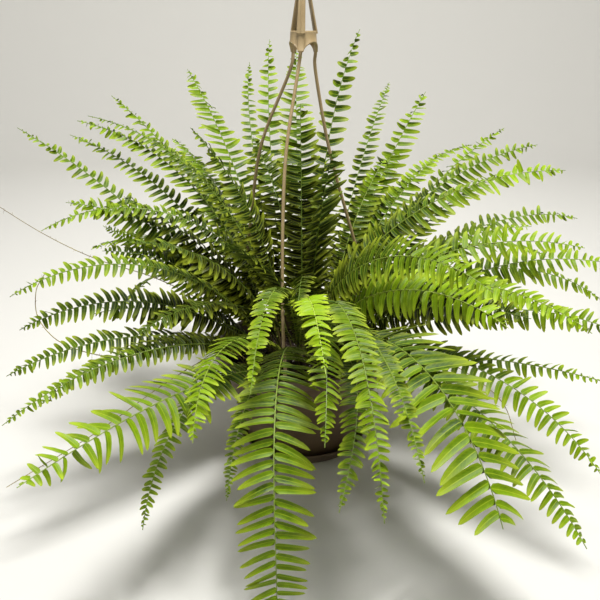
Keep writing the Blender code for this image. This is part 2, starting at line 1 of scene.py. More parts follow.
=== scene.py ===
"""Looks of the potted sword fern in its hanging basket.

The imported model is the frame. Each frond node is replaced by a finer one that keeps its
rib and length and carries the many small leaflets of a real frond. They are a little
longer than the part's, and narrow later, so that the plant looks full. The basket,
saucer, hanger, strands and runners get finer pieces, and the soil gets crumbs.
Sizes in the tables are millimetres and angles are degrees, as in the part's own source.
"""
import math

import bpy
import numpy as np
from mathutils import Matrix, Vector


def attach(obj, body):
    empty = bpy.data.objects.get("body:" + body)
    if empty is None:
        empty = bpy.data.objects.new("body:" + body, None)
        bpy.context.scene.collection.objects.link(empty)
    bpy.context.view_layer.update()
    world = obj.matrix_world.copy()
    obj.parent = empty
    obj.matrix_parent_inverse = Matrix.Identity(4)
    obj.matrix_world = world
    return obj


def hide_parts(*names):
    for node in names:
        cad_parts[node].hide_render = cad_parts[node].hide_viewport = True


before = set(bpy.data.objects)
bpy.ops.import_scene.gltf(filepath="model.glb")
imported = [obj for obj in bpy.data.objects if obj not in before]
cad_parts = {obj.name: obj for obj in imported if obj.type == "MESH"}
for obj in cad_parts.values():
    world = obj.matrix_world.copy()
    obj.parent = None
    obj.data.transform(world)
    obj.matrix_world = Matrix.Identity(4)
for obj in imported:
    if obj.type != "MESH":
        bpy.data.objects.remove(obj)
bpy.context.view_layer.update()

MM = 0.001
ROOT = "root"
SEED = 20

# Basket, saucer and soil, as in the part's source
POT_FOOT_Z = 2.3 * MM
POT_FOOT_R = 75 * MM
POT_WALL_TOP_Z = 129 * MM
POT_WALL_TOP_R = 112 * MM
POT_WALL = 2.0 * MM
RIM_TOP_Z = 140 * MM
RIM_R = 118.5 * MM
RIM_BAND = 6.5 * MM
SAUCER_FOOT_R = 78 * MM
SAUCER_LIP_R = 90 * MM
SAUCER_LIP_Z = 18 * MM
SAUCER_WALL = 2.0 * MM
SOIL_EDGE_Z = 116 * MM
SOIL_DOME = 6 * MM
STEM_DEPTH = 6 * MM
STEM_RISE = 1.5 * MM

# Hanger: azimuth of each strand, and how far it bows out and aside halfway down
STRANDS = {
    "strand_front": (-101, 0, -11),
    "strand_right": (19, -14, 0),
    "strand_left": (139, 8, 16),
}
STRAND_AZIMUTHS = [row[0] for row in STRANDS.values()]
STRAND_R = 2.0 * MM
STRAND_CIRCLE_R = 115.3 * MM
COLLAR_R = 16.5 * MM
COLLAR_WALL = 2.6 * MM
COLLAR_LOW_Z = 508 * MM
COLLAR_HIGH_Z = 531 * MM
COLLAR_ARCH_HALF = 12.2 * MM
COLLAR_ARCH_RISE = 10 * MM
STRIP_WIDTH = 10 * MM
STRIP_THICK = 2.2 * MM
STEM_LOW_Z = 588 * MM
HOOK_BAR_R = 2.8 * MM
HOOK_INNER_R = 14 * MM
HOOK_CENTRE_Z = 624 * MM

# Points along each runner's route, from the soil outwards
RUNNERS = {
    "runner_left_high": (
        (-63, 8, 108), (-63, 8, 122), (-125, 4, 190), (-190, 0, 230),
        (-265, -4, 258), (-330, -4, 292), (-400, -6, 342),
    ),
    "runner_left_loop": (
        (-71, -43, 108), (-71, -43, 122), (-96, -55, 156), (-140, -74, 172), (-220, -90, 160),
        (-285, -92, 176), (-316, -86, 206), (-318, -80, 240), (-306, -76, 262),
    ),
    "runner_front_left": (
        (-56, -61, 108), (-56, -61, 122), (-78, -76, 156), (-112, -100, 164),
        (-165, -130, 142), (-235, -175, 105), (-319, -227, 70),
    ),
    "runner_right": (
        (67, -40, 108), (67, -40, 122), (92, -54, 156), (130, -76, 170),
        (190, -110, 152), (235, -130, 120), (250, -150, 80),
    ),
}

# One row a frond: node, root distance from the middle, heading, rise at the root,
# how far it droops by the tip, length, turn of the heading by the tip,
# half width across the leaflets, roll about its own rib, and bare part of the stem.
# Rows of one node share their root.
FRONDS = (
    ("frond_front_long", 50, -97, 51, 157, 495, 19, 36, 0, 0.20),
    ("frond_front_low_right", 46, -84, 63, 108, 395, -11, 22, 0, 0.18),
    ("frond_front_low_left", 58, -105, 44, 106, 295, 5, 13, 0, 0.22),
    ("tuft_front_slim", 58, -75, 47, 91, 380, -38, 19, 0, 0.18),
    ("tuft_front_slim", 58, -77, 56, 95, 435, -5, 14, 0, 0.20),
    ("tuft_front_slim", 58, -53, 50, 69, 280, -18, 22, 0, 0.22),
    ("frond_front_tail", 40, -81, 63, 121, 500, -5, 18, 0, 0.16),
    ("tuft_front_top", 32, -99, 70, 110, 405, 5, 15, 0, 0.24),
    ("tuft_front_top", 32, -87, 65, 92, 380, 3, 18, 0, 0.24),
    ("frond_broad", 50, -67, 51, 105, 440, -4, 46, 0, 0.20),
    ("frond_right_front", 57, -61, 38, 85, 435, 8, 28, 10, 0.18),
    ("frond_right_low", 52, -44, 37, 84, 385, 2, 25, 20, 0.18),
    ("frond_right_fan", 8, -52, 75, 100, 372, 5, 32, 48, 0.22),
    ("frond_right_face", 20, -48, 65, 92, 335, 10, 34, 48, 0.22),
    ("frond_right_under", 42, -47, 54, 62, 312, 20, 28, 40, 0.20),
    ("frond_right_tip", 62, -39, 28, 34, 330, 12, 17, 20, 0.18),
    ("frond_right_high", 0, -4, 70, 70, 430, -5, 30, 30, 0.18),
    ("frond_right_back", 30, 10, 74, 65, 410, -5, 24, 40, 0.18),
    ("frond_right_mid", 15, -17, 60, 70, 390, 0, 27, 35, 0.18),
    ("frond_right_arch", 25, -39, 60, 90, 400, 5, 24, 30, 0.18),
    ("tuft_right_end", 56, 6, 64, 80, 400, 10, 21, 25, 0.18),
    ("tuft_right_end", 56, -5, 56, 95, 390, 5, 24, 25, 0.18),
    ("tuft_right_outer", 66, -14, 56, 66, 370, 0, 26, 35, 0.20),
    ("tuft_right_outer", 66, -24, 44, 62, 350, 0, 25, 35, 0.20),
    ("tuft_right_inner", 44, -8, 68, 66, 320, 0, 28, 25, 0.22),
    ("tuft_right_inner", 44, -27, 58, 74, 300, 0, 26, 30, 0.22),
    ("frond_back_far_left", 42, 156, 71, 35, 410, 10, 23, 0, 0.18),
    ("frond_back_left", 50, 129, 75, 40, 440, -5, 30, 0, 0.18),
    ("tuft_back_slim", 56, 116, 70, 30, 450, -30, 15, 0, 0.18),
    ("tuft_back_slim", 56, 104, 72, 22, 460, -18, 21, 0, 0.20),
    ("frond_back_mid", 42, 94, 80, 40, 450, -5, 28, 0, 0.18),
    ("frond_back_hook", 35, 72, 85, 37, 455, -15, 23, 0, 0.18),
    ("tuft_back_broad", 58, 62, 70, 36, 430, 5, 19, 0, 0.18),
    ("tuft_back_broad", 58, 46, 66, 26, 410, 5, 29, 0, 0.20),
    ("tuft_back_right", 50, 36, 80, 80, 400, 0, 16, 10, 0.18),
    ("tuft_back_right", 50, 23, 66, 46, 410, 10, 20, 10, 0.18),
    ("frond_left_high", 62, 181, 60, 30, 420, -5, 19, -25, 0.18),
    ("tuft_left_top", 48, 167, 71, 56, 410, -5, 20, -20, 0.18),
    ("tuft_left_top", 48, 165, 83, 74, 425, 5, 22, -20, 0.18),
    ("frond_left_back", 33, 165, 84, 75, 430, 5, 17, -10, 0.18),
    ("frond_left_mid", 14, -172, 80, 110, 420, 5, 18, -20, 0.18),
    ("frond_left_end", 40, -155, 65, 92, 385, 5, 19, -20, 0.18),
    ("frond_left_steep", 68, -178, 57, 26, 262, 5, 17, -60, 0.22),
    ("tuft_left_fan", 36, 186, 68, 62, 350, 0, 28, -30, 0.20),
    ("tuft_left_fan", 36, 190, 64, 62, 280, 0, 25, -45, 0.22),
    ("tuft_left_fan", 36, 152, 54, 60, 320, 0, 28, -10, 0.20),
    ("tuft_left_fan", 36, -156, 46, 52, 260, 0, 26, -40, 0.22),
    ("frond_left_long", 52, -114, 27, 37, 425, -15, 36, -25, 0.20),
    ("frond_left_trail", 36, -136, 36, 66, 382, -10, 17, -25, 0.20),
    ("tuft_left_low", 48, -149, 36, 56, 342, 0, 21, -25, 0.20),
    ("tuft_left_low", 48, -158, 51, 74, 340, 6, 24, -25, 0.20),
    ("tuft_left_low", 48, -140, 40, 72, 330, 0, 18, -20, 0.20),
    ("frond_left_hang", 34, -116, 48, 81, 350, 30, 22, 0, 0.24),
    ("frond_left_drop", 66, -120, 38, 103, 330, 16, 17, 0, 0.20),
    ("tuft_crown_front", 22, -72, 85, 24, 300, 0, 36, 30, 0.22),
    ("tuft_crown_front", 22, -134, 78, 60, 265, 0, 27, 0, 0.22),
    ("tuft_crown_front", 22, -146, 62, 92, 285, 4, 26, 0, 0.22),
    ("tuft_crown_front", 22, -94, 83, 109, 305, 1, 17, 15, 0.29),
    ("tuft_crown_left", 26, -165, 88, 40, 330, 0, 30, -30, 0.22),
    ("tuft_crown_left", 26, 182, 66, 40, 300, 0, 35, -15, 0.29),
    ("tuft_crown_left", 26, -144, 72, 66, 300, 0, 28, -10, 0.22),
    ("tuft_crown_right", 38, 30, 74, 44, 320, 0, 27, 15, 0.22),
    ("tuft_crown_right", 38, -22, 68, 62, 280, 0, 26, 35, 0.26),
    ("tuft_crown_right", 38, 54, 80, 46, 290, 0, 25, 0, 0.22),
    ("tuft_crown_back", 26, 92, 86, 18, 330, 0, 34, 0, 0.22),
    ("tuft_crown_back", 26, 122, 84, 44, 310, 0, 27, -45, 0.22),
    ("tuft_crown_back", 26, 74, 70, 54, 300, 0, 26, 0, 0.22),
    ("tuft_rear_1", 66, 14, 46, 92, 330, 0, 26, 0, 0.20),
    ("tuft_rear_1", 66, 20, 58, 90, 370, 0, 25, 0, 0.20),
    ("tuft_rear_1", 66, 34, 64, 64, 390, 0, 24, 0, 0.20),
    ("tuft_rear_2", 60, 46, 44, 98, 340, 0, 27, 0, 0.20),
    ("tuft_rear_2", 60, 56, 58, 84, 380, 0, 26, 0, 0.20),
    ("tuft_rear_2", 60, 66, 64, 60, 400, 0, 24, 0, 0.20),
    ("tuft_rear_3", 60, 80, 44, 104, 360, 0, 27, 0, 0.20),
    ("tuft_rear_3", 60, 90, 58, 86, 390, 6, 26, 0, 0.20),
    ("tuft_rear_3", 60, 98, 68, 62, 400, 0, 24, 0, 0.20),
    ("tuft_rear_4", 68, 112, 46, 96, 350, 0, 27, 0, 0.20),
    ("tuft_rear_4", 68, 122, 58, 88, 380, 0, 26, 0, 0.20),
    ("tuft_rear_4", 68, 132, 68, 62, 390, 0, 24, 0, 0.20),
    ("tuft_rear_5", 60, 144, 44, 100, 340, 0, 27, 0, 0.20),
    ("tuft_rear_5", 60, 154, 56, 86, 360, 0, 25, 0, 0.20),
    ("tuft_rear_5", 60, 130, 76, 62, 370, 0, 24, 15, 0.20),
)
SPINE_STEPS = 36

# How late a blade narrows to its tip. Blades narrow later here than in the part, and
# their leaflets are longer by the last value, to fill the plant out.
USUAL_TAPER = 3.6
TAPERS = {"frond_broad": 14, "frond_front_long": 4.5, "frond_right_front": 5}
LEAF_LONGER = 1.12

# How new each node's fronds look, 0 dark to 1 fresh and lime, for all of them or for each
# row, and how far apart their leaflets stand, 1 where they nearly touch. The tone is partly
# age and partly painted shade and light: fronds deep in the crown or under others are painted
# darker, and top-lit ones paler and more lime
LOOKS = {
    "frond_front_long": (0.50, 0.82),
    "frond_front_low_right": (0.40, 0.82),
    "frond_front_low_left": (0.42, 0.82),
    "frond_front_tail": (0.45, 0.9),
    "frond_broad": (0.50, 1.0),
    "frond_right_front": (0.45, 1.0),
    "frond_right_low": (0.55, 1.1),
    "frond_right_fan": (0.60, 0.85),
    "frond_right_face": (0.98, 0.9),
    "frond_right_under": (0.05, 0.9),
    "frond_right_tip": (0.50, 1.2),
    "frond_right_high": (0.62, 1.05),
    "frond_right_back": (0.48, 1.1),
    "frond_right_mid": (0.66, 1.2),
    "frond_right_arch": (0.72, 1.05),
    "frond_back_hook": (0.35, 1.8),
    "frond_back_mid": (0.45, 1.3),
    "frond_back_left": (0.50, 1.05),
    "frond_back_far_left": (0.48, 1.1),
    "frond_left_high": (0.42, 1.3),
    "frond_left_back": (0.40, 1.2),
    "frond_left_mid": (0.52, 1.2),
    "frond_left_end": (0.45, 1.15),
    "frond_left_steep": (1.00, 0.8),
    "frond_left_long": (0.62, 1.15),
    "frond_left_trail": (0.45, 1.1),
    "frond_left_hang": (0.70, 1.0),
    "frond_left_drop": (0.50, 1.0),
    "tuft_front_top": ((0.50, 1.00), 1.0),
    "tuft_front_slim": (0.46, 0.95),
    "tuft_back_slim": (0.42, 1.7),
    "tuft_back_broad": (0.45, 1.3),
    "tuft_back_right": (0.55, 1.25),
    "tuft_right_end": (0.52, 1.25),
    "tuft_right_outer": (0.58, 1.1),
    "tuft_right_inner": (0.66, 1.0),
    "tuft_left_top": (0.55, 1.1),
    "tuft_left_fan": (0.38, 1.0),
    "tuft_left_low": (0.30, 1.0),
    "tuft_crown_front": (0.22, 0.9),
    "tuft_crown_left": (0.22, 0.95),
    "tuft_crown_right": (0.55, 0.95),
    "tuft_crown_back": (0.25, 1.0),
}
USUAL_LOOK = (0.45, 1.05)

# Leaflets: rows from the rib out, each with its share of the length and of the half width
LEAF_ROWS = (
    (0.00, 0.28), (0.05, 0.84), (0.18, 1.00), (0.38, 0.95), (0.58, 0.86), (0.77, 0.71), (0.92, 0.44),
)
LEAF_COLUMNS = (-1.0, -0.52, 0.0, 0.52, 1.0)
LEAF_THICK = 0.45 * MM
LEAF_SWEEP = 0.10
LEAF_SWEEP_TIP = 0.16
LEAF_DROOP = 0.10
# How far a blade sags, rolls and twists in waves along its rib
BLADE_WAVE = 0.16
BLADE_ROLL = 0.14
BLADE_TWIST = 9
# How much more uneven the last leaflets are
WILD_TIP = 4
# Shares of a leaflet's length: how far its tip bends along the frond and curls down
LEAF_BEND = 0.15
LEAF_CURL = 0.12
# Shares of its half width: how deep it is cupped, and how wide the ear at its foot is
LEAF_CUP = 0.34
LEAF_EAR = 0.22
# The stoutest leaflet's half width as a share of its length
LEAF_STOUT = 0.42
# Leaflets that stand wider apart than this grow no narrower
SPREAD_MOST = 1.25
LEAF_CLOSE = 5 * MM
LEAF_SPREAD = 0.18
LEAF_FILL = 0.76
# Small leaflets start this far down the bare part of a stem, and how small they are there
LOW_START = 0.5
LOW_SIZE = 0.22
# Leaflets are painted darker, as shade inside the plant, the nearer they stand to this point, out to this
# distance
CROWN = np.array((0, 0, 0.15))
CROWN_REACH = 300 * MM
RIB_R = 1.15 * MM
RIB_TIP_R = 0.4 * MM


def linear(code):
    """An sRGB hex colour as the linear light that shaders take."""
    shares = [int(code[place:place + 2], 16) / 255 for place in (1, 3, 5)]
    return tuple(v / 12.92 if v <= 0.04045 else ((v + 0.055) / 1.055) ** 2.4 for v in shares) + (1.0,)


def soil_height(radius):
    return SOIL_EDGE_Z + SOIL_DOME * (1 - radius / (108.2 * MM))


def polar(radius, azimuth, z=0.0):
    angle = math.radians(azimuth)
    return np.array((radius * math.cos(angle), radius * math.sin(angle), z))


def unit(vectors):
    return vectors / np.linalg.norm(vectors, axis=-1, keepdims=True)


def smooth_path(points, steps):
    """Points along a smooth curve that passes through the route's points."""
    points = [np.array(point, float) for point in points]
    padded = [points[0] * 2 - points[1]] + points + [points[-1] * 2 - points[-2]]
    dense = []
    for before, start, end, after in zip(padded, padded[1:], padded[2:], padded[3:]):
        for step in range(steps):
            t = step / steps
            blend = start * 2 + (end - before) * t
            blend = blend + (before * 2 - start * 5 + end * 4 - after) * t * t
            dense.append((blend + (start * 3 - before - end * 3 + after) * t ** 3) / 2)
    return np.array(dense + [points[-1]])


class Frond:
    """A frond's rib, read from its row, with the frame of its blade at any points."""

    def __init__(self, row, root_heading):
        (self.node, root, self.heading, self.rise, self.droop, length, self.turn,
         half_width, self.roll, self.bare) = row
        self.length = length * MM
        self.half_width = half_width * LEAF_LONGER * MM
        self.taper = TAPERS.get(self.node, USUAL_TAPER)
        self.wild = 0 if self.node in TAPERS else WILD_TIP
        start = polar(root * MM, root_heading, soil_height(root * MM) + STEM_RISE)
        middles = (np.arange(SPINE_STEPS) + 0.5) / SPINE_STEPS
        steps = self.tangents(middles) * self.length / SPINE_STEPS
        self.points = np.vstack((start, start + np.cumsum(steps, axis=0)))

    def headings(self, shares):
        return np.radians(self.heading + self.turn * shares ** 2)

    def tangents(self, shares):
        rise = np.radians(self.rise - self.droop * shares ** 1.25)
        heading = self.headings(shares)
        flat = np.cos(rise)
        return np.stack((flat * np.cos(heading), flat * np.sin(heading), np.sin(rise)), axis=-1)

    def frames(self, shares):
        """Points of the rib, with the directions along, to the left and up."""
        knots = np.linspace(0, 1, SPINE_STEPS + 1)
        points = np.stack([np.interp(shares, knots, self.points[:, axis]) for axis in range(3)], axis=-1)
        along = self.tangents(shares)
        heading = self.headings(shares)
        left = np.stack((-np.sin(heading), np.cos(heading), np.zeros_like(heading)), axis=-1)
        up = np.cross(along, left)
        roll = np.radians(self.roll) * np.minimum(1, shares * 3)
        cos, sin = np.cos(roll)[:, None], np.sin(roll)[:, None]
        return points, along, left * cos + up * sin, up * cos - left * sin

    def widths(self, shares):
        """Half width across the leaflets at shares of the rib, small below the blade's start."""
        blade = np.clip((shares - self.bare) / (1 - self.bare), 0, 1)
        climbed = (shares - self.bare * LOW_START) / (self.bare * (1 - LOW_START))
        low = LOW_SIZE + (0.55 - LOW_SIZE) * climbed
        opening = np.where(shares < self.bare, low, np.minimum(1, 0.55 + 0.45 * blade / 0.22))
        return self.half_width * opening * (1 - blade ** self.taper) ** 0.75

    def stations(self, spread, start):
        """Where leaflets stand along one side of the rib, closer towards the tip."""
        widest = (LEAF_CLOSE + LEAF_SPREAD * self.half_width) * spread / self.length
        shares = []
        gaps = []
        at = self.bare * LOW_START + start * widest * 0.3
        while at < 0.99:
            gap = widest * (0.36 + 0.64 * float(self.widths(np.array(at))) / self.half_width)
            shares.append(at)
            gaps.append(gap)
            at += gap
        return np.array(shares), np.array(gaps) * self.length


class Skin:
    """Gathers the points, triangles, map places and surface values of one piece."""

    def __init__(self):
        self.points = []
        self.values = []
        self.triangles = []
        self.places = []
        self.slots = []
        self.count = 0

    def add(self, points, values, triangles, places, slot):
        self.points.append(points)
        self.values.append(values)
        self.triangles.append(np.asarray(triangles) + self.count)
        self.places.append(places)
        self.slots.append(np.broadcast_to(slot, len(triangles)))
        self.count += len(points)

    def piece(self, name, finishes, slot, *nodes):
        """The gathered mesh as one piece that rides on the model."""
        points = np.concatenate(self.points).astype(np.float32)
        triangles = np.concatenate(self.triangles).astype(np.int32)
        mesh = bpy.data.meshes.new(name)
        mesh.vertices.add(len(points))
        mesh.vertices.foreach_set("co", points.ravel())
        mesh.loops.add(triangles.size)
        mesh.loops.foreach_set("vertex_index", triangles.ravel())
        mesh.polygons.add(len(triangles))
        mesh.polygons.foreach_set("loop_start", np.arange(0, triangles.size, 3, dtype=np.int32))
        mesh.polygons.foreach_set("material_index", np.concatenate(self.slots).astype(np.int32))
        mesh.polygons.foreach_set("use_smooth", np.ones(len(triangles), dtype=bool))
        values = mesh.attributes.new("surface", "FLOAT_VECTOR", "POINT")
        values.data.foreach_set("vector", np.concatenate(self.values).astype(np.float32).ravel())
        layer = mesh.uv_layers.new(name="OFBake")
        layer.uv.foreach_set("vector", np.concatenate(self.places).astype(np.float32).ravel())
        mesh.update(calc_edges=True)
        mesh.set_sharp_from_angle(angle=math.radians(55))
        for finish in finishes:
            mesh.materials.append(finish)
        made = bpy.data.objects.new(name, mesh)
        bpy.context.scene.collection.objects.link(made)
        return settle(made, slot, *nodes)


def settle(made, slot, *nodes):
    """The piece rides on the model and stands for the nodes; the slot is not used."""
    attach(made, ROOT)
    if nodes:
        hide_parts(*nodes)
    return made


def leaf_pattern():
    """One leaflet's points (across, along, thickness) and triangles, upper face first."""
    points = []
    for along, width in LEAF_ROWS:
        points += [(column * width, along, 1 - column ** 2 if along else 0.0) for column in LEAF_COLUMNS]
    points.append((0.0, 1.0, 0.0))
    tip = len(points) - 1
    wide = len(LEAF_COLUMNS)
    under = {}
    for row, (along, width) in enumerate(LEAF_ROWS[1:], 1):
        for place, column in enumerate(LEAF_COLUMNS[1:-1], 1):
            under[row, place] = len(points)
            points.append((column * width, along, column ** 2 - 1))

    def upper(row, place):
        return tip if row == len(LEAF_ROWS) else row * wide + place

    def lower(row, place):
        return under.get((row, place), upper(row, place))

    faces = []
    for row in range(len(LEAF_ROWS)):
        for place in range(wide - 1):
            faces.append(((row, place), (row, place + 1), (row + 1, place + 1)))
            if row < len(LEAF_ROWS) - 1:
                faces.append(((row, place), (row + 1, place + 1), (row + 1, place)))
    top = [[upper(*corner) for corner in face] for face in faces]
    bottom = [[lower(*corner) for corner in face[::-1]] for face in faces]
    return np.array(points), np.array(top), np.array(bottom)


LEAF_POINTS, LEAF_TOP, LEAF_BOTTOM = leaf_pattern()
LEAF_CORNERS = np.vstack((LEAF_TOP, LEAF_BOTTOM))
LEAF_SIDES = np.repeat((0, 1), len(LEAF_TOP))
LEAF_ACROSS = np.array([c for along, width in LEAF_ROWS for c in LEAF_COLUMNS] + [0.0]
                       + [c for row in LEAF_ROWS[1:] for c in LEAF_COLUMNS[1:-1]])


def leaf_places(cells, columns):
    """Map places of leaflets laid out in a grid of cells, the upper faces in the left halves."""
    across = (LEAF_POINTS[LEAF_CORNERS, 0] + 1) / 2
    along = LEAF_POINTS[LEAF_CORNERS, 1]
    flat = np.stack((0.04 + 0.42 * across + 0.5 * LEAF_SIDES[:, None], 0.04 + 0.92 * along), axis=-1)
    origin = np.stack((cells % columns, cells // columns), axis=-1)[:, None, None, :]
    return (flat[None] + origin) / columns * (1, 0.94)


def add_leaflets(skin, frond, fresh_and_lit, spread, first_cell, columns, rng):
    """All the leaflets of one frond, alternate along its two sides."""
    sides = [(sign, *frond.stations(spread, start)) for sign, start in ((1, 0.0), (-1, 1.0))]
    shares = np.concatenate([side[1] for side in sides])
    gaps = np.concatenate([side[2] for side in sides])
    signs = np.concatenate([np.full(len(side[1]), side[0]) for side in sides])
    count = len(shares)
    origin, along, left, up = frond.frames(shares)

    def spreads(size):
        return rng.normal(0, size, (count, 1))

    sign = signs[:, None]
    blade = np.clip((shares - frond.bare) / (1 - frond.bare), 0, 1)[:, None]
    unruly = 1 + frond.wild * blade ** 6
    # A blade is never flat: it rolls and sags in slow waves along its rib
    waves = np.sin(rng.uniform(4, 9, 2) * shares[:, None] + rng.uniform(0, math.tau, 2))
    sweep = LEAF_SWEEP + LEAF_SWEEP_TIP * blade + spreads(0.06) * unruly
    sag = LEAF_DROOP + BLADE_WAVE * waves[:, :1] + BLADE_ROLL * sign * waves[:, 1:]
    out = unit(left * sign + along * sweep - up * (sag + spreads(0.08) * unruly))
    across = unit(along - out * np.sum(along * out, axis=1, keepdims=True))
    normal = np.cross(across, out) * sign
    twist = np.radians(spreads(9) * unruly + BLADE_TWIST * waves[:, :1])
    cos, sin = np.cos(twist), np.sin(twist)
    across, normal = across * cos + normal * sin, normal * cos - across * sin
    length = frond.widths(shares)[:, None] * (1 + spreads(0.05))
    widest = gaps[:, None] * LEAF_FILL / 2 / np.clip(spread, 1, SPREAD_MOST)
    half = np.minimum(widest, length * LEAF_STOUT) * (1 + spreads(0.05))
    bend = LEAF_BEND + spreads(0.04)
    curl = LEAF_CURL + spreads(0.06) * unruly
    cup = LEAF_CUP + spreads(0.10)
    wave = spreads(0.05)
    x, y, thick = (LEAF_POINTS[:, axis][None] for axis in range(3))
    ear = 1 + LEAF_EAR * np.exp(-((y - 0.05) / 0.09) ** 2) * (x > 0)
    sideways = x * ear * half + bend * length * y ** 2
    raised = cup * half * x ** 2 - curl * length * y ** 2 + wave * half * np.sin(9 * y + 4 * x)
    raised = raised + thick * LEAF_THICK / 2 * np.minimum(1, half / (3 * MM))
    points = (origin[:, None] + out[:, None] * (y * length)[..., None]
              + across[:, None] * sideways[..., None] + normal[:, None] * raised[..., None])
    # Leaflets are painted darker towards the crown, as shade inside the plant, and paler towards the blade's
    # tip, partly as younger leaflets and partly as painted light
    out_of_crown_shade = np.minimum(1, np.linalg.norm(origin - CROWN, axis=1) / CROWN_REACH)
    age_and_shade = fresh_and_lit + rng.normal(0, 0.05) + 0.55 * (blade[:, 0] - 0.55) + 0.5 * (out_of_crown_shade - 0.8)
    age_and_shade += rng.normal(0, 0.06, count)
    values = np.stack(np.broadcast_arrays(LEAF_ACROSS[None], y, age_and_shade[:, None]), axis=-1)
    triangles = LEAF_CORNERS[None] + np.arange(count)[:, None, None] * len(LEAF_POINTS)
    places = leaf_places(first_cell + np.arange(count), columns)
    mirrored = signs < 0
    triangles[mirrored] = triangles[mirrored][:, :, ::-1]
    places[mirrored] = places[mirrored][:, :, ::-1]
    slots = np.tile(LEAF_SIDES, count)
    points, values, triangles = (part.reshape(-1, 3) for part in (points, values, triangles))
    skin.add(points, values, triangles, places.reshape(-1, 2), slots)
    return count


def tube_triangles(count, sides):
    """Walls between the rings of a tube, then its two caps round the last two points."""
    triangles = []
    for ring in range(count - 1):
        for place in range(sides):
            low, high = ring * sides + place, ring * sides + (place + 1) % sides
            triangles += [(low, high, high + sides), (low, high + sides, low + sides)]
    last = (count - 1) * sides
    for place in range(sides):
        step = (place + 1) % sides
        triangles += [(step, place, count * sides), (last + place, last + step, count * sides + 1)]
    return triangles


def add_tube(skin, path, radii, sides, slot, age_and_shade=0.5, strip=(0.95, 1.0)):
    """A closed round tube along a path, with its map place in a strip."""
    path = np.asarray(path)
    radii = np.broadcast_to(radii, len(path))
    along = unit(np.gradient(path, axis=0))
    start = np.cross(along[0], (0.0, 1.0, 0.0) if abs(along[0][1]) < 0.9 else (1.0, 0.0, 0.0))
    rings = []
    side = unit(start)
    for point, tangent, radius in zip(path, along, radii):
        side = unit(side - tangent * np.dot(side, tangent))
        other = np.cross(tangent, side)
        angles = np.arange(sides) * math.tau / sides
        rings.append(point + radius * (np.cos(angles)[:, None] * side + np.sin(angles)[:, None] * other))
    points = np.vstack(rings + [path[:1], path[-1:]])
    count = len(path)
    shares = np.concatenate((np.repeat(np.linspace(0, 1, count), sides), (0.0, 1.0)))
    turns = np.concatenate((np.tile(np.arange(sides) / sides, count), (0.5, 0.5)))
    corners = []
    for ring in range(count - 1):
        for place in range(sides):
            near, far = ring / (count - 1), (ring + 1) / (count - 1)
            here, there = place / sides, (place + 1) / sides
            corners += [(near, here), (near, there), (far, there), (near, here), (far, there), (far, here)]
    corners += [(0, 0), (0, 0.1), (0, 0.2), (1, 0), (1, 0.1), (1, 0.2)] * sides
    corners = np.array(corners, float)
    high = strip[0] + (strip[1] - strip[0]) * corners[:, 1]
    places = np.stack((0.01 + 0.98 * corners[:, 0], high), axis=-1)
    values = np.stack((turns, shares, np.full(len(points), age_and_shade)), axis=-1)
    skin.add(points, values, tube_triangles(count, sides), places, slot)


def make_fern_node(name, fronds, finishes, rng):
    skin = Skin()
    look = LOOKS.get(name, USUAL_LOOK)
    total = 0
    for frond in fronds:
        for start in (0.0, 1.0):
            total += len(frond.stations(look[1], start)[0])
    columns = math.ceil(math.sqrt(total))
    cell = 0
    ages_and_shade = np.broadcast_to(look[0], len(fronds))
    for number, frond in enumerate(fronds):
        cell += add_leaflets(skin, frond, ages_and_shade[number], look[1], cell, columns, rng)
        shares = np.linspace(0, 1, SPINE_STEPS + 1)
        radii = RIB_R + (RIB_TIP_R - RIB_R) * shares ** 0.8
        foot = frond.points[0] - (0, 0, STEM_DEPTH)
        path = np.vstack((foot, frond.points))
        high = 0.95 + 0.05 * number / len(fronds)
        strip = (high, high + 0.045 / len(fronds))
        add_tube(skin, path, np.concatenate((radii[:1], radii)), 6, 2, ages_and_shade[number], strip)
    return skin.piece(f"{name}_leaves", finishes, "fern_green", name)


def make_fern(finishes):
    nodes = {}
    for row in FRONDS:
        fronds = nodes.setdefault(row[0], [])
        root_heading = fronds[0].heading if fronds else row[2]
        fronds.append(Frond(row, root_heading))
    rng = np.random.default_rng(SEED)
    for name, fronds in nodes.items():
        make_fern_node(name, fronds, finishes, rng)


def strand_route(azimuth, out, aside):
    side = polar(MM, azimuth + 90) * aside
    route = [
        polar(COLLAR_R - COLLAR_WALL / 2, azimuth, COLLAR_LOW_Z + 1.2 * MM),
        polar(COLLAR_R + (0.5 + 0.1 * out) * MM, azimuth, COLLAR_LOW_Z - 23 * MM) + side * 0.3,
        polar((47 + out) * MM, azimuth, 400 * MM) + side,
        polar((70 + out * 0.7) * MM, azimuth, 310 * MM) + side,
        polar((98 + out * 0.2) * MM, azimuth, 205 * MM) + side * 0.5,
        polar(STRAND_CIRCLE_R - 1.5 * MM, azimuth, RIM_TOP_Z + 18 * MM),
        polar(STRAND_CIRCLE_R, azimuth, RIM_TOP_Z + 3 * MM),
    ]
    return smooth_path(route, 10)


def make_strand(name, finish):
    """A moulded strand that steps down to a peg through the rim, with a barb under it."""
    azimuth = STRANDS[name][0]
    path = strand_route(*STRANDS[name])
    radii = np.full(len(path), STRAND_R)
    stations = (
        (RIM_TOP_Z + 1.6 * MM, 2.0), (RIM_TOP_Z + 1.2 * MM, 2.6), (RIM_TOP_Z + 0.4 * MM, 2.6),
        (RIM_TOP_Z + 0.2 * MM, 1.3), (POT_WALL_TOP_Z - 0.3 * MM, 1.3), (POT_WALL_TOP_Z - 0.5 * MM, 2.4),
        (POT_WALL_TOP_Z - 5.3 * MM, 0.9),
    )
    path = np.vstack([path] + [polar(STRAND_CIRCLE_R, azimuth, z)[None] for z, radius in stations])
    radii = np.concatenate((radii, [radius * MM for z, radius in stations]))
    skin = Skin()
    add_tube(skin, path, radii, 12, 0)
    return skin.piece(f"{name}_moulding", [finish], "taupe_plastic", name)


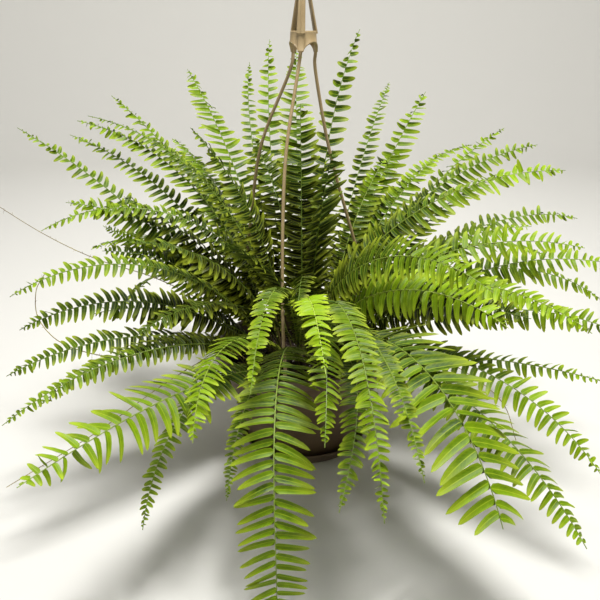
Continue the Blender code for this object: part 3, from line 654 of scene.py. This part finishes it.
def make_runner(name, finish, rng):
    """A wiry runner, thinner towards its tip, with short root hairs along it."""
    path = smooth_path([np.array(point) * MM for point in RUNNERS[name]], 8)
    skin = Skin()
    add_tube(skin, path, np.linspace(0.8, 0.4, len(path)) * MM, 6, 0)
    for place in rng.integers(12, len(path) - 2, 26):
        start = path[place]
        reach = unit(rng.normal(0, 1, 3)) * rng.uniform(2.5, 6) * MM
        sag = np.array((0, 0, -1.2 * MM))
        hair = [start, start + reach * 0.5, start + reach + sag]
        add_tube(skin, hair, np.array((0.22, 0.18, 0.1)) * MM, 4, 0)
    return skin.piece(f"{name}_wiry", [finish], "dry_runner", name)


def turned(name, profile, steps, finish):
    """A closed profile of (radius, height) points in metres, turned about the Z axis."""
    mesh = bpy.data.meshes.new(name)
    points = [(radius, 0, z) for radius, z in profile]
    edges = [(place, place + 1) for place in range(len(points) - 1)]
    mesh.from_pydata(points, edges, [])
    made = bpy.data.objects.new(name, mesh)
    bpy.context.scene.collection.objects.link(made)
    mesh.materials.append(finish)
    screw = made.modifiers.new("Turn", "SCREW")
    screw.steps = steps
    screw.render_steps = steps
    screw.use_merge_vertices = True
    screw.merge_threshold = 0.01 * MM
    screw.use_smooth_shade = True
    return made


def round_hole(radius, place):
    """A hidden cutter for one round hole straight down."""
    skin = Skin()
    path = [place + (0, 0, 15 * MM), place - (0, 0, 15 * MM)]
    add_tube(skin, path, radius, 24, 0)
    mesh = bpy.data.meshes.new("hole")
    mesh.from_pydata(skin.points[0].tolist(), [], skin.triangles[0].tolist())
    made = bpy.data.objects.new("hole", mesh)
    HOLES.objects.link(made)
    made.hide_render = True
    made.hide_viewport = True
    return made


def rounded(points, radius, steps=3):
    """The profile with each inner corner rounded off."""
    points = [np.array(point, float) for point in points]
    done = [points[0]]
    for before, corner, after in zip(points, points[1:], points[2:]):
        start = corner + (before - corner) * min(radius / np.linalg.norm(before - corner), 0.45)
        end = corner + (after - corner) * min(radius / np.linalg.norm(after - corner), 0.45)
        for step in range(steps + 1):
            t = step / steps
            done.append(start * (1 - t) ** 2 + corner * 2 * t * (1 - t) + end * t ** 2)
    return done + [points[-1]]


def make_basket(finish):
    floor_z = POT_FOOT_Z + POT_WALL
    profile = rounded((
        (0, floor_z),
        (POT_FOOT_R - POT_WALL, floor_z),
        (POT_WALL_TOP_R - POT_WALL, POT_WALL_TOP_Z),
        (RIM_R - RIM_BAND, RIM_TOP_Z),
        (RIM_R, RIM_TOP_Z),
        (RIM_R, POT_WALL_TOP_Z),
        (POT_WALL_TOP_R, POT_WALL_TOP_Z),
        (POT_FOOT_R, POT_FOOT_Z),
        (0, POT_FOOT_Z),
    ), 1.2 * MM)
    basket = turned("basket", profile, 96, finish)
    for index in range(4):
        round_hole(5 * MM, polar(52 * MM, 45 + index * 90, floor_z))
    for azimuth in STRAND_AZIMUTHS:
        round_hole(1.75 * MM, polar(STRAND_CIRCLE_R, azimuth, RIM_TOP_Z - 5 * MM))
    cut = basket.modifiers.new("Holes", "BOOLEAN")
    cut.operation = "DIFFERENCE"
    cut.operand_type = "COLLECTION"
    cut.collection = HOLES
    cut.solver = "EXACT"
    return settle(basket, "taupe_plastic", "pot")


def make_saucer(finish):
    profile = rounded((
        (0, SAUCER_WALL),
        (SAUCER_FOOT_R - SAUCER_WALL, SAUCER_WALL),
        (SAUCER_LIP_R - SAUCER_WALL, SAUCER_LIP_Z),
        (SAUCER_LIP_R, SAUCER_LIP_Z),
        (SAUCER_FOOT_R, 0),
        (0, 0),
    ), 0.9 * MM)
    return settle(turned("drip_saucer", profile, 96, finish), "taupe_plastic", "saucer")


def add_loft(skin, rings, slot=0):
    """A closed skin through equal rings of points, capped at both ends."""
    rings = np.asarray(rings)
    count, sides = rings.shape[:2]
    points = np.vstack((rings.reshape(-1, 3), rings[0].mean(axis=0), rings[-1].mean(axis=0)))
    triangles = tube_triangles(count, sides)
    skin.add(points, np.zeros_like(points), triangles, np.zeros((len(triangles) * 3, 2)), slot)


def collar_edge(azimuth):
    """Height of the collar's lower edge, which arches up between the strands."""
    height = COLLAR_LOW_Z
    for strand in STRAND_AZIMUTHS:
        turn = (azimuth - strand - 60 + 180) % 360 - 180
        share = COLLAR_R * math.sin(math.radians(turn)) / COLLAR_ARCH_HALF
        if abs(turn) < 90 and abs(share) < 1:
            height += COLLAR_ARCH_RISE * math.sqrt(1 - share ** 2)
    return height


def add_collar(skin):
    """The collar's wall, with a raised bead along its arches."""
    turns = np.linspace(0, 360, 180, endpoint=False)
    beads = ((0.0, 0.0), (0.5, 0.7), (1.6, 0.8), (2.4, 0.0))
    rings = []
    for azimuth in turns:
        low = collar_edge(azimuth)
        outer = []
        for rise, proud in beads:
            outer.append((low + rise * MM, proud * MM))
        outer += [(COLLAR_HIGH_Z - drop * MM, -inset * MM) for drop, inset in ((2, 0), (0.4, 0), (0, 0.4))]
        section = []
        for z, proud in outer:
            lean = 1.5 * MM * (z - COLLAR_LOW_Z) / (COLLAR_HIGH_Z - COLLAR_LOW_Z)
            section.append(polar(COLLAR_R - lean + proud, azimuth, z))
        for z in (COLLAR_HIGH_Z, COLLAR_HIGH_Z - 0.4 * MM, low):
            lean = 1.5 * MM * (z - COLLAR_LOW_Z) / (COLLAR_HIGH_Z - COLLAR_LOW_Z)
            inner = COLLAR_WALL - (0.4 * MM if z == COLLAR_HIGH_Z else 0)
            section.append(polar(COLLAR_R - lean - inner, azimuth, z))
        rings.append(section)
    rings = np.asarray(rings)
    count, sides = rings.shape[:2]
    triangles = []
    for ring in range(count):
        for place in range(sides):
            low, high = ring * sides + place, ring * sides + (place + 1) % sides
            far_low = (ring + 1) % count * sides + place
            far_high = (ring + 1) % count * sides + (place + 1) % sides
            triangles += [(low, far_low, far_high), (low, far_high, high)]
    points = rings.reshape(-1, 3)
    skin.add(points, np.zeros_like(points), triangles, np.zeros((len(triangles) * 3, 2)), 0)


def add_strip(skin, azimuth):
    """One flat strip from the collar to the hook's stem, with a stiffening rib."""
    low = polar(COLLAR_R - COLLAR_WALL / 2, azimuth, COLLAR_HIGH_Z - 3 * MM)
    high = polar(2.2 * MM, azimuth, STEM_LOW_Z + 6 * MM)
    along = unit(high - low)
    side = unit(np.cross(polar(1, azimuth), along))
    face = np.cross(along, side)
    half, thick = STRIP_WIDTH / 2, STRIP_THICK / 2
    rings = []
    for share in np.linspace(0, 1, 15):
        wide = half * (1 - 0.4 * share)
        rib = 0.8 * MM * min(1.0, 10 * min(share, 1 - share))
        corners = (
            (-wide, -thick * 0.6), (-wide * 0.93, -thick), (wide * 0.93, -thick), (wide, -thick * 0.6),
            (wide, thick * 0.6), (wide * 0.93, thick), (0.9 * MM, thick), (0.5 * MM, thick + rib),
            (-0.5 * MM, thick + rib), (-0.9 * MM, thick), (-wide * 0.93, thick), (-wide, thick * 0.6),
        )
        centre = low + (high - low) * share
        rings.append([centre + side * x + face * y for x, y in corners])
    add_loft(skin, rings)


def hook_path():
    """Up the stem, round the hook and down to its open tip."""
    radius = HOOK_INNER_R + HOOK_BAR_R
    angles = np.radians(np.linspace(-90, 165, 40))
    ring = [(radius * math.cos(angle), 0, HOOK_CENTRE_Z + radius * math.sin(angle)) for angle in angles]
    return np.array([(0, 0, STEM_LOW_Z), (0, 0, STEM_LOW_Z + 8 * MM)] + ring)


def make_hanger(finish):
    skin = Skin()
    add_collar(skin)
    for azimuth in STRAND_AZIMUTHS:
        add_strip(skin, azimuth)
    path = hook_path()
    radii = np.full(len(path), HOOK_BAR_R)
    radii[-3:] = HOOK_BAR_R * np.array((0.96, 0.8, 0.45))
    add_tube(skin, path, radii, 16, 0)
    return skin.piece("hanger_moulding", [finish], "taupe_plastic", "hanger_head")


def add_crumb(skin, place, size, rng, slot):
    """A small lump with uneven corners."""
    shape = np.array(((1, 0, 0), (-1, 0, 0), (0, 1, 0), (0, -1, 0), (0, 0, 1), (0, 0, -1)), float)
    shape = shape * rng.uniform(0.6, 1.3, (6, 3)) + rng.normal(0, 0.18, (6, 3))
    faces = [(0, 2, 4), (2, 1, 4), (1, 3, 4), (3, 0, 4), (2, 0, 5), (1, 2, 5), (3, 1, 5), (0, 3, 5)]
    places = np.zeros((len(faces) * 3, 2))
    skin.add(place + shape * size, np.tile(rng.uniform(0, 1, 3), (6, 1)), faces, places, slot)


def make_crumbs(finishes, rng):
    """Crumbs of bark and peat on the soil, with a few white grains."""
    skin = Skin()
    for index in range(1500):
        radius = 101 * MM * math.sqrt(rng.uniform())
        place = polar(radius, rng.uniform(0, 360), soil_height(radius))
        grain = index % 12 == 0
        size = rng.uniform(0.7, 1.5) * MM if grain else rng.uniform(0.9, 3.2) * MM
        add_crumb(skin, place + (0, 0, 0.3 * MM), size, rng, 1 if grain else 0)
    return skin.piece("soil_crumbs", finishes, "dark_soil")


def add_node(tree, kind, settings=None, inputs=None):
    """One node with its settings; inputs are numbers, colours or other nodes' outputs."""
    made = tree.nodes.new(kind)
    for name, value in (settings or {}).items():
        setattr(made, name, value)
    for name, value in (inputs or {}).items():
        if isinstance(value, bpy.types.NodeSocket):
            tree.links.new(value, made.inputs[name])
        else:
            made.inputs[name].default_value = value
    return made


# Places of the sockets of a colour mix
FACTOR, FIRST, SECOND, MIXED = 0, 6, 7, 2
COLOURS = {"data_type": "RGBA"}


def new_finish(name, roughness, ior):
    finish = bpy.data.materials.new(name)
    finish.use_nodes = True
    shader = finish.node_tree.nodes["Principled BSDF"]
    shader.inputs["Roughness"].default_value = roughness
    shader.inputs["IOR"].default_value = ior
    shader.inputs["Metallic"].default_value = 0
    return finish, finish.node_tree, shader


def fern_leaf(name, dark, middle, fresh_and_lit, pale_and_highlight, roughness, vein_depth):
    """Living fern leaf. Its waxy skin gives a soft satin sheen, the sunken midrib and
    slanting veins catch the light, and young leaflets are yellower. Darker greens also stand
    for painted shade, and the paler margins and tips are a painted highlight.
    """
    finish, tree, shader = new_finish(name, roughness, 1.45)
    surface = add_node(tree, "ShaderNodeAttribute", {"attribute_name": "surface"})
    parts = add_node(tree, "ShaderNodeSeparateXYZ", None, {0: surface.outputs["Vector"]})
    across = add_node(tree, "ShaderNodeMath", {"operation": "ABSOLUTE"}, {0: parts.outputs["X"]}).outputs[0]
    along, age_and_shade = parts.outputs["Y"], parts.outputs["Z"]
    where = add_node(tree, "ShaderNodeTexCoord").outputs["Object"]
    # Patches of uneven green about 9 mm across
    patches = add_node(tree, "ShaderNodeTexNoise", None,
                       {"Vector": where, "Scale": 110, "Detail": 3, "Roughness": 0.6})
    drift = add_node(tree, "ShaderNodeMath", {"operation": "MULTIPLY_ADD"},
                     {0: patches.outputs["Fac"], 1: 0.5, 2: age_and_shade})
    # The greens go from dark to lime with the leaflet's value, which carries both its age and its painted
    # shade and light
    ripe_and_lit = add_node(tree, "ShaderNodeMapRange", None,
                    {"Value": drift.outputs[0], "From Min": 0.25, "From Max": 0.8})
    young_and_lit = add_node(tree, "ShaderNodeMapRange", None,
                     {"Value": drift.outputs[0], "From Min": 0.7, "From Max": 1.3})
    green = add_node(tree, "ShaderNodeMix", COLOURS,
                     {FACTOR: ripe_and_lit.outputs[0], FIRST: linear(dark), SECOND: linear(middle)})
    green = add_node(tree, "ShaderNodeMix", COLOURS,
                     {FACTOR: young_and_lit.outputs[0], FIRST: green.outputs[MIXED], SECOND: linear(fresh_and_lit)})
    # Margins and tips are painted paler, as a painted highlight
    painted_highlight = add_node(tree, "ShaderNodeMapRange", None,
                    {"Value": across, "From Min": 0.6, "From Max": 1.0, "To Max": 0.2})
    tip = add_node(tree, "ShaderNodeMapRange", None,
                   {"Value": along, "From Min": 0.4, "From Max": 1.0, "To Max": 0.42})
    painted_highlight = add_node(tree, "ShaderNodeMath", {"operation": "MAXIMUM"},
                    {0: painted_highlight.outputs[0], 1: tip.outputs[0]})
    green = add_node(tree, "ShaderNodeMix", COLOURS,
                     {FACTOR: painted_highlight.outputs[0], FIRST: green.outputs[MIXED], SECOND: linear(pale_and_highlight)})
    # Side veins are really 1.2 mm apart; ten to a leaflet are drawn, up to 5 mm apart, so
    # that they show
    slant = add_node(tree, "ShaderNodeMath", {"operation": "MULTIPLY_ADD"},
                     {0: across, 1: -0.16, 2: along})
    waves = add_node(tree, "ShaderNodeMath", {"operation": "MULTIPLY"},
                     {0: slant.outputs[0], 1: 10 * math.tau})
    veins = add_node(tree, "ShaderNodeMath", {"operation": "SINE"}, {0: waves.outputs[0]})
    veins = add_node(tree, "ShaderNodeMapRange", None,
                     {"Value": veins.outputs[0], "From Min": 0.5, "From Max": 1.0, "To Max": 0.05})
    midrib = add_node(tree, "ShaderNodeMapRange", None,
                      {"Value": across, "From Min": 0.12, "From Max": 0.02, "To Max": 0.35})
    lines = add_node(tree, "ShaderNodeMath", {"operation": "MAXIMUM"},
                     {0: veins.outputs[0], 1: midrib.outputs[0]})
    green = add_node(tree, "ShaderNodeMix", COLOURS,
                     {FACTOR: lines.outputs[0], FIRST: green.outputs[MIXED], SECOND: linear(pale_and_highlight)})
    tree.links.new(green.outputs[MIXED], shader.inputs["Base Color"])
    shader.inputs["Specular IOR Level"].default_value = 0.2
    gloss = add_node(tree, "ShaderNodeMapRange", None,
                     {"Value": patches.outputs["Fac"], "To Min": roughness - 0.08, "To Max": roughness + 0.1})
    tree.links.new(gloss.outputs[0], shader.inputs["Roughness"])
    bump = add_node(tree, "ShaderNodeBump", None,
                    {"Height": lines.outputs[0], "Strength": vein_depth, "Distance": -0.6 * MM})
    tree.links.new(bump.outputs[0], shader.inputs["Normal"])
    return finish


def fern_rib(name):
    """Stem of the frond. It is brown and dull at its foot and pale yellow green above,
    with a shallow groove along it.
    """
    finish, tree, shader = new_finish(name, 0.5, 1.45)
    surface = add_node(tree, "ShaderNodeAttribute", {"attribute_name": "surface"})
    parts = add_node(tree, "ShaderNodeSeparateXYZ", None, {0: surface.outputs["Vector"]})
    where = add_node(tree, "ShaderNodeTexCoord").outputs["Object"]
    # Scaly flecks about 2 mm long
    flecks = add_node(tree, "ShaderNodeTexNoise", None, {"Vector": where, "Scale": 500, "Detail": 2})
    grown = add_node(tree, "ShaderNodeMapRange", None,
                     {"Value": parts.outputs["Y"], "From Min": 0.02, "From Max": 0.3})
    young_and_lit = add_node(tree, "ShaderNodeMapRange", None,
                     # The stem is greener and paler for fronds with a higher tone value, which carries
                     # painted shade and light as well as age
                     {"Value": parts.outputs["Z"], "From Min": 0.3, "From Max": 1.0})
    green = add_node(tree, "ShaderNodeMix", COLOURS,
                     {FACTOR: young_and_lit.outputs[0], FIRST: linear("#5f7424"), SECOND: linear("#a6bb48")})
    brown = add_node(tree, "ShaderNodeMix", COLOURS,
                     {FACTOR: grown.outputs[0], FIRST: linear("#4a3a1e"), SECOND: green.outputs[MIXED]})
    spots = add_node(tree, "ShaderNodeMapRange", None,
                     {"Value": flecks.outputs["Fac"], "From Min": 0.6, "From Max": 0.8, "To Max": 0.4})
    colour = add_node(tree, "ShaderNodeMix", COLOURS,
                      {FACTOR: spots.outputs[0], FIRST: brown.outputs[MIXED], SECOND: linear("#5b4a26")})
    tree.links.new(colour.outputs[MIXED], shader.inputs["Base Color"])
    bump = add_node(tree, "ShaderNodeBump", None,
                    {"Height": flecks.outputs["Fac"], "Strength": 0.4, "Distance": 0.3 * MM})
    tree.links.new(bump.outputs[0], shader.inputs["Normal"])
    return finish


def moulded_polypropylene(name, base, dusty, worn):
    """Injection moulded polypropylene. It is satin with a fine eggshell grain, slightly
    cloudy, and dusty in patches where water has dried.
    """
    finish, tree, shader = new_finish(name, 0.42, 1.49)
    where = add_node(tree, "ShaderNodeTexCoord").outputs["Object"]
    # Dust and water marks 20 to 40 mm across
    marks = add_node(tree, "ShaderNodeTexNoise", None,
                     {"Vector": where, "Scale": 28, "Detail": 5, "Roughness": 0.65})
    # The mould's grain is about 0.2 mm; it is drawn at 0.8 mm so that it shows
    grain = add_node(tree, "ShaderNodeTexNoise", None, {"Vector": where, "Scale": 1250, "Detail": 1})
    dust = add_node(tree, "ShaderNodeMapRange", None,
                    {"Value": marks.outputs["Fac"], "From Min": 0.42, "From Max": 0.75, "To Max": 0.55})
    colour = add_node(tree, "ShaderNodeMix", COLOURS,
                      {FACTOR: dust.outputs[0], FIRST: linear(base), SECOND: linear(dusty)})
    speckle = add_node(tree, "ShaderNodeMapRange", None,
                       {"Value": grain.outputs["Fac"], "From Min": 0.6, "From Max": 0.8, "To Max": 0.35})
    colour = add_node(tree, "ShaderNodeMix", COLOURS,
                      {FACTOR: speckle.outputs[0], FIRST: colour.outputs[MIXED], SECOND: linear(worn)})
    tree.links.new(colour.outputs[MIXED], shader.inputs["Base Color"])
    gloss = add_node(tree, "ShaderNodeMapRange", None,
                     {"Value": marks.outputs["Fac"], "To Min": 0.32, "To Max": 0.6})
    tree.links.new(gloss.outputs[0], shader.inputs["Roughness"])
    bump = add_node(tree, "ShaderNodeBump", None,
                    {"Height": grain.outputs["Fac"], "Strength": 0.35, "Distance": 0.1 * MM})
    tree.links.new(bump.outputs[0], shader.inputs["Normal"])
    return finish


def potting_mix(name, wet, dry, scale):
    """Moist peat and bark. It is matt, dark and crumbly, lighter where it has dried."""
    finish, tree, shader = new_finish(name, 0.9, 1.4)
    where = add_node(tree, "ShaderNodeTexCoord").outputs["Object"]
    crumbs = add_node(tree, "ShaderNodeTexNoise", None,
                      {"Vector": where, "Scale": scale, "Detail": 6, "Roughness": 0.7})
    drier = add_node(tree, "ShaderNodeMapRange", None,
                     {"Value": crumbs.outputs["Fac"], "From Min": 0.45, "From Max": 0.7})
    colour = add_node(tree, "ShaderNodeMix", COLOURS,
                      {FACTOR: drier.outputs[0], FIRST: linear(wet), SECOND: linear(dry)})
    tree.links.new(colour.outputs[MIXED], shader.inputs["Base Color"])
    bump = add_node(tree, "ShaderNodeBump", None,
                    {"Height": crumbs.outputs["Fac"], "Strength": 0.9, "Distance": 2 * MM})
    tree.links.new(bump.outputs[0], shader.inputs["Normal"])
    return finish


def dry_stem(name):
    """Dry wiry runner. It is straw brown, fibrous and dull."""
    finish, tree, shader = new_finish(name, 0.7, 1.45)
    where = add_node(tree, "ShaderNodeTexCoord").outputs["Object"]
    # Darker joints about 15 mm apart
    joints = add_node(tree, "ShaderNodeTexNoise", None, {"Vector": where, "Scale": 65, "Detail": 4})
    share = add_node(tree, "ShaderNodeMapRange", None,
                     {"Value": joints.outputs["Fac"], "From Min": 0.35, "From Max": 0.65})
    colour = add_node(tree, "ShaderNodeMix", COLOURS,
                      {FACTOR: share.outputs[0], FIRST: linear("#6d5a2e"), SECOND: linear("#a89a5c")})
    tree.links.new(colour.outputs[MIXED], shader.inputs["Base Color"])
    fibres = add_node(tree, "ShaderNodeTexNoise", None, {"Vector": where, "Scale": 900, "Detail": 1})
    bump = add_node(tree, "ShaderNodeBump", None,
                    {"Height": fibres.outputs["Fac"], "Strength": 0.4, "Distance": 0.2 * MM})
    tree.links.new(bump.outputs[0], shader.inputs["Normal"])
    return finish


def pale_floor():
    """Matt painted board that sweeps up to a wall all round, so that no horizon shows."""
    finish, _, shader = new_finish("painted_board", 0.85, 1.5)
    shader.inputs["Base Color"].default_value = linear("#d6d4ce")
    flat, sweep, height = 2.6, 1.2, 4.0
    angles = np.radians(np.linspace(0, 90, 13))
    bend = [(flat + sweep * math.sin(angle), sweep * (1 - math.cos(angle))) for angle in angles]
    floor = turned("floor", [(0, 0)] + bend + [(flat + sweep, height)], 96, finish)


def softbox(name, place, target, size, power):
    lamp = bpy.data.lights.new(name, "AREA")
    lamp.energy = power
    lamp.size = size
    made = bpy.data.objects.new(name, lamp)
    bpy.context.scene.collection.objects.link(made)
    made.location = place
    aim = Vector(target) - Vector(place)
    made.rotation_euler = aim.to_track_quat("-Z", "Y").to_euler()


CAMERA_PLACE = (-0.0038, -0.842, 0.512)
CAMERA_DOWN = 20.3
CAMERA_LENS = 40.8


def light_and_camera():
    world = bpy.data.worlds.new("studio")
    bpy.context.scene.world = world
    bpy.context.scene.view_settings.view_transform = "Standard"
    world.use_nodes = True
    sky = world.node_tree.nodes["Background"]
    sky.inputs["Color"].default_value = linear("#f2f4ee")
    sky.inputs["Strength"].default_value = 0.13
    softbox("key_light", (0.2, -0.3, 2.2), (0, 0, 0.25), 0.5, 66)
    softbox("fill_light", (-1.4, -0.9, 1.0), (0, 0, 0.2), 1.0, 4)
    softbox("wall_light", (0, 1.5, 2.6), (0, 3.8, 0.4), 1.5, 48)
    camera = bpy.data.cameras.new("camera")
    camera.lens = CAMERA_LENS
    camera.sensor_width = 36
    camera.clip_end = 50
    made = bpy.data.objects.new("camera", camera)
    bpy.context.scene.collection.objects.link(made)
    made.location = CAMERA_PLACE
    made.rotation_euler = (math.radians(90 - CAMERA_DOWN), 0, 0)
    bpy.context.scene.camera = made


def dress():
    rng = np.random.default_rng(SEED + 1)
    # Each leaf's darkest green also stands for painted shade, and its palest is both its paler veins and the
    # painted highlight on margins and tips
    upper = fern_leaf("fern_leaf_upper", "#070f00", "#2a4702", "#7c9d06", "#c8d63a", 0.46, 0.35)
    under = fern_leaf("fern_leaf_under", "#0e1902", "#385409", "#819e14", "#bccb48", 0.6, 0.45)
    fern = [upper, under, fern_rib("fern_rib")]
    # The basket and saucer take a darker copy of the hanger's tan plastic: painted shade
    shaded_polypropylene = moulded_polypropylene("polypropylene_shaded", "#54422f", "#75634d", "#665540")
    tan = moulded_polypropylene("polypropylene_tan", "#a08a64", "#bda982", "#d0c199")
    straw = dry_stem("runner_dry")
    soil = potting_mix("peat_mix", "#1d140d", "#3d2c1e", 260)
    bark = potting_mix("bark_crumbs", "#241810", "#5a412c", 420)
    perlite = potting_mix("perlite_grains", "#a8a296", "#e4e0d4", 900)
    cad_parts["soil"].material_slots[0].material = soil
    make_fern(fern)
    make_basket(shaded_polypropylene)
    make_saucer(shaded_polypropylene)
    make_hanger(tan)
    for name in STRANDS:
        make_strand(name, tan)
    for name in RUNNERS:
        make_runner(name, straw, rng)
    make_crumbs([bark, perlite], rng)


HOLES = bpy.data.collections.new("holes")
dress()
pale_floor()
light_and_camera()
